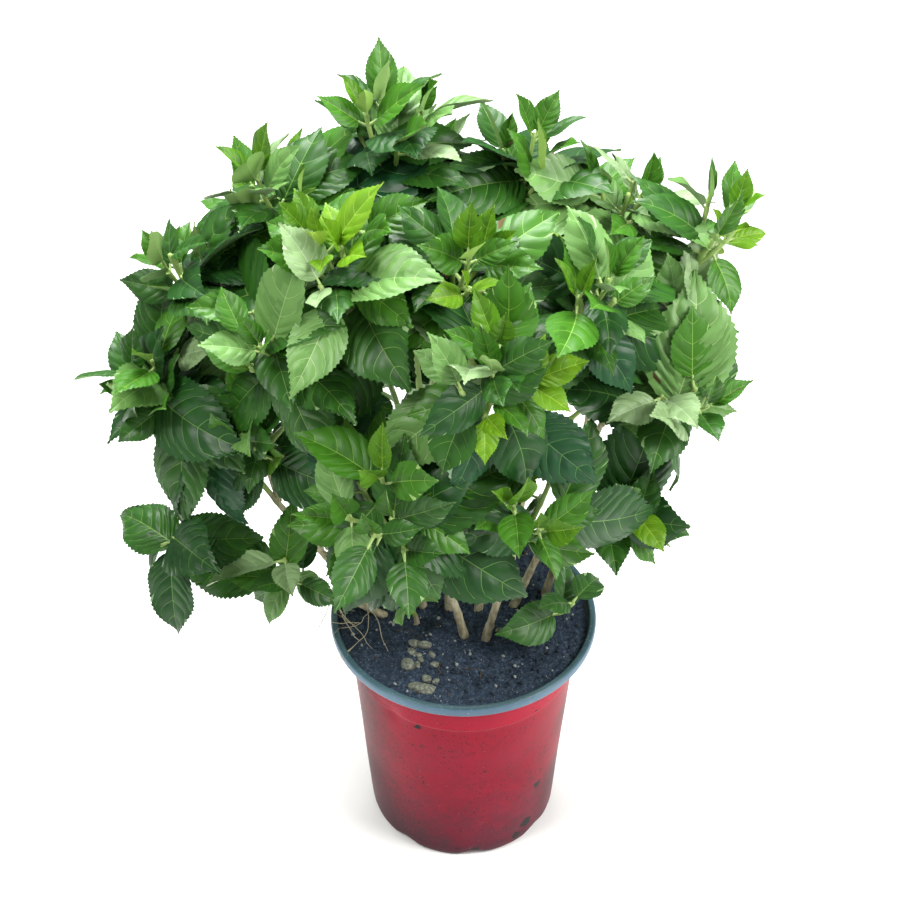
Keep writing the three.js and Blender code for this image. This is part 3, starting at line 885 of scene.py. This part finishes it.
def bark_material():
    tree = Tree("bark")
    grain = tree.noise(260, 5, 0.6, (1, 1, 0.22))
    tree.surface = tree.ramp(grain, (0.3, "847A62"), (0.48, "AFA68A"), (0.7, "D6CFB6"))
    tree.cover(tree.ramp(tree.noise(70, 3, 0.6), (0.5, 0.0), (0.68, 0.7)), "6E6450")
    tree.bump(grain, 0.5, 0.0006)
    return tree.finish(tree.surface, 0.8)


def make_limb(name, limb, materials, random):
    """A limb with rough bark from its foot, swollen nodes, and a smooth green end."""
    rings, sides = 84, 12
    line, radii = limb
    points, length = smoothed(line, rings)
    run = np.linspace(0, length, rings)
    base = np.interp(run / length, np.linspace(0, 1, len(radii)), radii)
    if name.startswith("stem_"):
        base = base * (1 + 0.22 * np.exp(-np.clip(run - 0.012, 0, None) / 0.008))
    at = random.uniform(0.02, 0.04)
    while at < length:
        base = base * (1 + 0.2 * np.exp(-((run - at) / 0.0026) ** 2))
        at += random.uniform(0.028, 0.05)
    turns = round_angles(sides)
    seed = random.uniform(0, 60)
    rough = np.array([[noise.noise(Vector((math.cos(a) * 1.6, math.sin(a) * 1.6, level * 130 + seed)))
                       for a in turns] for level in run])
    vertices, quads, ends = tube(points, base[:, None] * (1 + 0.12 * rough), sides)
    wood = 0.6 if name.startswith("stem_") else 0.3
    green = (np.arange(len(quads)) // sides) / (rings - 1) > wood + random.uniform(-0.1, 0.1)
    soup = Soup()
    soup.add(vertices, quads, green.astype(int), ends, [0] * sides + [1] * sides)
    place(soup.build("bark_" + name, materials), "bark", name)


DRY_ROOTS = 12


def make_dry_roots(limb, material, random):
    """Thin dry roots that hang from the foot of a low limb and lie forked over the rim and the soil."""
    points, _ = smoothed(limb[0], 40)
    soup = Soup()

    def grow(start, heading, steps, thick):
        path = [start]
        for _ in range(steps):
            heading = unit(heading + random.normal(0, 0.16, 3) - UP * 0.03)
            onward = path[-1] + heading * random.uniform(0.004, 0.007)
            onward[2] = max(onward[2], (SOIL_TOP + 4) * MM)
            path.append(onward)
            if thick > 0.0003 and random.uniform() < 0.16:
                grow(onward, unit(heading + random.normal(0, 0.6, 3)), steps // 2, thick * 0.7)
        soup.add_tube(path, np.linspace(thick, thick * 0.5, len(path)), 4, 0)

    for _ in range(DRY_ROOTS):
        way = unit(np.array([random.uniform(-0.9, 0.7), random.uniform(-1, 1), random.uniform(-0.5, 0.1)]))
        grow(points[random.integers(5, 18)], way, int(random.integers(7, 14)), 0.00048)
    place(soup.build("dry_roots", [material]), "bark")


# --- Pot ----------------------------------------------------------------------------------------
# Lengths in mm. The profile's rows go from the middle of the underside, up the outside, over the rolled
# lip and down the inside to the soil.

POT_HIGH = np.array(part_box("pot")[1]) / MM
POT = {"height": POT_HIGH[2], "lip": POT_HIGH[0], "lip_height": 10, "lip_width": 7, "band": 102,
       "band_height": 38, "step": 1.2, "foot": 87, "inside": 99.4, "ledge": 2.0, "ledge_rise": 1.4}
POT_SIDES = 216
NOTCHES, FIRST_NOTCH, NOTCH_WIDTH, NOTCH_HEIGHT = 8, -83, 24, 4.5
# Dents in the wall: bearing in degrees, then height, size and depth in mm. The third is a raised crease.
DENTS = ((-128, 190, 9, 1.8), (-138, 212, 6, 2.2), (-133, 203, 4, -0.9), (-60, 120, 30, 0.9),
         (-150, 90, 26, 0.8), (40, 110, 40, 1.0))


def pot_wall(z):
    """Radius of the pot's outside at a height."""
    step = POT["height"] - POT["lip_height"] - POT["band_height"]
    taper = POT["foot"] + (POT["band"] - POT["step"] - POT["foot"]) * np.clip(z / step, 0, 1)
    return taper + POT["step"] * np.clip((z - step) / 1.6, 0, 1)


def pot_profile():
    """Rows of (radius, height, zone): 0 the red outside, 1 the lip's side, 2 its top, 3 the inside."""
    rows = [(r, 0.0, 0) for r in (0.5, 40, 72, 78, 81)]
    rows += [(82 + 5 * math.sin(a), 5 - 5 * math.cos(a), 0) for a in np.linspace(0, 1.5, 7)]
    rows += [(pot_wall(z), z, 0) for z in np.linspace(7, 189, 34)]
    band = (190, 190.4, 190.8, 191.2, 191.6, 193, *np.arange(196, 227, 3), 227.6)
    rows += [(pot_wall(z), z, 0) for z in band]
    half_width, half_height = POT["lip_width"] / 2, POT["lip_height"] / 2
    middle = (POT["lip"] - half_width, POT["height"] - half_height)
    rows += [(radius, POT["height"] - POT["lip_height"], 1) for radius in (104, 110)]
    for a in np.linspace(-1.57, 3.1, 30):
        along, up = (np.sign(v) * abs(v) ** 0.72 for v in (math.cos(a), math.sin(a)))
        zone = 1 if a < 0.85 else 2 if a < 2.3 else 3
        rows.append((middle[0] + half_width * along, middle[1] + half_height * up, zone))
    ledge = POT["height"] - POT["lip_height"] + POT["ledge"]
    rows += [(POT["lip"] - POT["lip_width"], ledge + POT["ledge_rise"], 3), (POT["inside"] + 0.6, ledge, 3)]
    rows += [(POT["inside"], ledge - 0.6, 3), (POT["inside"] - 1, ledge - 30, 3)]
    return rows


def make_pot():
    out, up, zones = np.array(pot_profile()).T
    bearings = round_angles(POT_SIDES)
    radius, height = out[:, None] + 0 * bearings, up[:, None] + 0 * bearings
    first = math.radians(FIRST_NOTCH)
    off = (bearings - first + math.pi / NOTCHES) % (2 * math.pi / NOTCHES) - math.pi / NOTCHES
    arch = np.clip(1 - np.abs(off) * POT["foot"] / (NOTCH_WIDTH * 0.75), 0, 1)
    arch = arch * arch * (3 - 2 * arch)
    foot = np.clip((radius - 72) / 9, 0, 1) * np.clip(1 - height / 26, 0, 1) ** 2
    height = height + NOTCH_HEIGHT * arch * foot
    outside = (zones == 0)[:, None] & (radius > 80)
    for bearing, level, size, depth in DENTS:
        away = np.abs((bearings - math.radians(bearing) + math.pi) % (2 * math.pi) - math.pi) * radius
        radius = radius - outside * depth * np.exp(-(away ** 2 + (height - level) ** 2) / size ** 2)
    radius = radius - outside * 0.35 * (1 + np.sin(3 * bearings + height / 40) * np.sin(height / 47))
    points = np.stack([radius * np.cos(bearings), radius * np.sin(bearings), height], -1) * MM
    soup = Soup()
    soup.add(points, ring_quads(len(out), POT_SIDES), np.repeat(zones[1:], POT_SIDES))
    # The lip's top and the inside are the lip's blue-grey plastic drawn darker: painted shade.
    materials = [red_plastic(), lip_plastic("lip_side", "48657A", "56778C"),
                 lip_plastic("lip_top_shaded", "324E59", "40606B"), lip_plastic("inside", "222D33", "2E3B42")]
    place(soup.build("pot_shell", materials), "pot_plastic", "pot")


# Blots of dried soil on the pot, and wide smears of fine dirt that also paint shade on the pot's left side:
# bearing in degrees, height and radius in mm.
BLOTS = ((246, 186, 3.6), (318, 73, 5.5), (312, 24, 7.5), (305, 12, 5.0), (278, 9, 4.0))
SMEARS_AND_SHADE = ((202, 66, 62), (204, 140, 58), (210, 188, 42), (228, 14, 58), (338, 52, 40), (345, 140, 36))
RAGGED = 9  # mm over which noise moves the edges of both


def red_plastic():
    """Red plastic, lighter on the band as painted light and darker towards the foot as painted shade, dirty
    towards the foot too, with specks and blots of soil.
    """
    tree = Tree("red_plastic")
    height = tree.height()
    # The pot's own red by height, with painted light on the band and painted shade darkening towards the
    # foot.
    tree.surface = tree.ramp(height, (0.0, "430B1E"), (0.1, "680C26"), (0.4, "880524"), (0.78, "940726"),
                             (0.81, "A91832"))
    tree.cover(tree.ramp(tree.noise(14, 4, 0.6), (0.45, 0.0), (0.75, 0.4)), "96213A")
    low = tree.ramp(height, (0.0, 1.0), (0.2, 0.6), (0.55, 0.25), (1.0, 0.08))
    film = tree.ramp(tree.noise(60, 8, 0.7), (0.4, 0.0), (0.7, 0.95))
    tree.cover(tree.product(film, low), "3E2230")
    for scale, low_edge, high_edge, dirt in ((620, 0.62, 0.66, "2A1820"), (260, 0.67, 0.7, "17131A")):
        specks = tree.ramp(tree.noise(scale, 2, 0.5), (low_edge, 0.0), (high_edge, 1.0))
        patches = tree.ramp(tree.noise(24, 3, 0.6), (0.4, 0.1), (0.58, 1.0))
        tree.cover(tree.product(specks, patches), dirt)
    tree.cover(tree.ramp(tree.noise(420, 2, 0.5, (1, 1, 3)), (0.73, 0.0), (0.76, 0.45)), "D9A0A8")
    for bearing, level, radius in SMEARS_AND_SHADE:
        smear_and_shade = tree.blot(bearing, level, radius, 0.1)
        # Fine dirt, and on the left side painted shade darkening the wall.
        grime_and_shade = tree.ramp(tree.noise(150, 6, 0.75), (0.36, 0.35), (0.6, 0.9))
        tree.cover(tree.product(smear_and_shade, grime_and_shade), "340C17")
        grit = tree.ramp(tree.noise(520, 3, 0.6), (0.55, 0.0), (0.6, 1.0))
        tree.cover(tree.product(smear_and_shade, grit), "1F1A1A")
    for bearing, level, radius in BLOTS:
        tree.cover(tree.blot(bearing, level, radius), "1A1719")
    tree.bump(tree.noise(900, 3, 0.5), 0.08, 0.0003)
    tree.bump(tree.noise(18, 2, 0.4), 0.12, 0.004)
    return tree.finish(tree.surface, 0.4, 0.13)


def lip_plastic(name, low_colour, high_colour):
    tree = Tree(name)
    tree.surface = tree.ramp(tree.noise(22, 5, 0.6), (0.35, low_colour), (0.65, high_colour))
    tree.cover(tree.ramp(tree.noise(700, 2, 0.5), (0.68, 0.0), (0.74, 0.55)), "B9C2C4")
    tree.bump(tree.noise(800, 2, 0.5), 0.06, 0.0003)
    return tree.finish(tree.surface, 0.42)


# --- Soil ---------------------------------------------------------------------------------------

UNEVENNESS = 3.0
SOIL_BOX = [np.array(corner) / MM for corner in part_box("soil")]
SOIL_TOP, SOIL_EDGE = SOIL_BOX[1][2] - UNEVENNESS, SOIL_BOX[1][1]
SOIL_RINGS, SOIL_SIDES = 84, 236
PALE_STONES = {"bearing": 237, "out": 0.6, "spread": (8, 14), "count": 10}  # out is a share of the edge
FLAT_STONE = {"bearing": 247, "out": 0.87, "half_length": 14, "heading": 168, "height": 4.5}
LOOSE_STONES = 6
CRUMBS, CRUMB_REACH = 1200, 107
LITTER, LITTER_REACH = 36, 102
SOIL_SEED = 40


def soil_level(x, y):
    """Height of the soil's surface at a place, all in mm: uneven, and more even and lower at the edge."""
    swell = math.sin(x / 21 + 0.6) * math.cos(y / 17) + 0.6 * math.sin((x + y) / 11)
    rough = 2.2 * swell / 1.6
    for size, height in ((14, 2.0), (6, 1.8), (2.8, 1.6), (1.3, 0.9)):
        rough += height * noise.noise(Vector((x / size, y / size, size)))
    rough += 1.6 * max(0.0, noise.noise(Vector((x / 4.2, y / 4.2, 9.0))) - 0.15)
    edge = min(max((math.hypot(x, y) / SOIL_EDGE - 0.78) / 0.22, 0.0), 1.0)
    return SOIL_TOP + rough * (1 - 0.75 * edge) - 0.3 * edge


def make_soil():
    random = np.random.default_rng(SOIL_SEED)
    rings = SOIL_EDGE * np.linspace(0.004, 1, SOIL_RINGS) ** 0.8
    bearings = round_angles(SOIL_SIDES)
    x, y = np.outer(rings, np.cos(bearings)), np.outer(rings, np.sin(bearings))
    z = np.array([soil_level(a, b) for a, b in zip(x.ravel(), y.ravel())]).reshape(x.shape)
    points = np.stack([x, y, z], -1).reshape(-1, 3) * MM
    soup = Soup()
    soup.add(points, ring_quads(SOIL_RINGS, SOIL_SIDES)[:, FLIPPED])
    place(soup.build("soil_surface", [soil_material()]), "soil", "soil")
    crumbs = Soup()
    for _ in range(CRUMBS):
        at = from_axis(CRUMB_REACH * math.sqrt(random.uniform(0.01, 1)), random.uniform(0, 2 * math.pi))
        size = 0.5 + 2.4 * random.uniform(0, 1) ** 3
        slot = 0 if random.uniform() < 0.86 else 1
        add_stone(crumbs, at, size, random.uniform(0, 6.3), size * random.uniform(0.6, 0.9), slot, random, 1)
    for at, size in pale_stones(random):
        add_stone(crumbs, at, size, random.uniform(0, 6.3), size * random.uniform(0.55, 0.75), 2, random, 3)
    add_stone(crumbs, on_soil(FLAT_STONE["bearing"], FLAT_STONE["out"]), FLAT_STONE["half_length"],
              math.radians(FLAT_STONE["heading"]), FLAT_STONE["height"], 2, random, 3, 0.65)
    for _ in range(LITTER):
        add_litter(crumbs, random)
    finishes = [plain_material("crumb_dark", "2B3440", 0.95, 0.2),
                plain_material("grit_pale", "8A8F8E", 0.8, 0.3),
                stone_material(), plain_material("litter", "4A4136", 0.9, 0.2)]
    place(crumbs.build("soil_crumbs", finishes), "soil")


def on_soil(bearing, out):
    """A place on the soil in mm, from a bearing and a share of the way out to its edge."""
    return from_axis(SOIL_EDGE * out, math.radians(bearing))


def pale_stones(random):
    """Places and half lengths of the stones that gather in a patch, and of a few loose ones."""
    patch = on_soil(PALE_STONES["bearing"], PALE_STONES["out"])
    laid = []
    while len(laid) < PALE_STONES["count"]:
        at, size = patch + random.normal(0, PALE_STONES["spread"]), random.uniform(2.6, 8.0)
        if all(np.linalg.norm(at - other) > 0.6 * (size + reach) for other, reach in laid):
            laid.append((at, size))
            yield at, size
    for _ in range(LOOSE_STONES):
        yield on_soil(random.uniform(0, 360), random.uniform(0.3, 0.85)), random.uniform(2.2, 4.2)


def add_stone(soup, at, size, bearing, height, slot, random, detail, slim=1.0):
    """A broken stone or crumb half sunk in the soil."""
    rings, sides = (3, 6) if detail < 2 else (9, 16)
    seed = Vector(random.uniform(0, 90, 3))
    faces = [Vector(unit(random.normal(0, 1, 3))) for _ in range(7)]
    cos, sin = math.cos(bearing), math.sin(bearing)
    wide = size * random.uniform(0.6, 0.85) * slim
    ground = soil_level(*at) + height * 0.25
    rows = []
    for polar in np.linspace(0.02, math.pi - 0.02, rings + 2):
        for turn in round_angles(sides):
            flat = math.sin(polar)
            way = Vector((flat * math.cos(turn), flat * math.sin(turn), math.cos(polar)))
            swell = 1 + 0.3 * noise.noise(way * 1.1 + seed) + 0.1 * noise.noise(way * 3.2 + seed)
            swell = min([swell] + [0.8 / max(way.dot(face), 0.1) for face in faces])
            a, b, c = way.x * size * swell, way.y * wide * swell, way.z * height * swell
            rows.append((at[0] + a * cos - b * sin, at[1] + a * sin + b * cos, ground + c))
    soup.add(np.array(rows) * MM, ring_quads(rings + 2, sides)[:, FLIPPED], slot)


def add_litter(soup, random):
    """A short bit of dry twig or root on the soil."""
    start = from_axis(LITTER_REACH * math.sqrt(random.uniform(0.02, 1)), random.uniform(0, 2 * math.pi))
    heading, length = random.uniform(0, 6.3), random.uniform(3, 14)
    points = []
    for share in np.linspace(0, 1, 6):
        flat = start + from_axis(length * share, heading)
        flat = flat * min(1.0, 106 / max(np.linalg.norm(flat), 1))
        heading += random.uniform(-0.25, 0.25)
        points.append((flat[0], flat[1], soil_level(*flat) + 0.5 + random.uniform(0, 0.7)))
    soup.add_tube(np.array(points) * MM, np.full(6, random.uniform(0.25, 0.6)) * MM, 5, 3)


def soil_material():
    tree = Tree("soil_mix")
    grain = tree.noise(330, 6, 0.7)
    tree.surface = tree.ramp(grain, (0.3, "181F29"), (0.5, "2A3648"), (0.66, "4A586A"), (0.8, "7E868C"))
    tree.cover(tree.ramp(tree.noise(26, 3, 0.5), (0.4, 0.0), (0.65, 0.55)), "242E3B")
    tree.cover(tree.ramp(tree.noise(900, 1, 0.4), (0.7, 0.0), (0.74, 0.85)), "8C8D86")
    tree.bump(grain, 0.9, 0.0012)
    return tree.finish(tree.surface, 0.95, 0.2)


def stone_material():
    tree = Tree("stone")
    grain = tree.noise(420, 5, 0.65)
    tree.bump(grain, 0.5, 0.0004)
    return tree.finish(tree.ramp(grain, (0.3, "3A3E39"), (0.5, "61655B"), (0.7, "909284")), 0.85)


# --- The whole scene ----------------------------------------------------------------------------

set_camera()
set_lights()
make_floor()
make_pot()
make_soil()
make_plant()

[[list(corner) for corner in box] for box in (CAD_BOUNDS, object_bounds())]
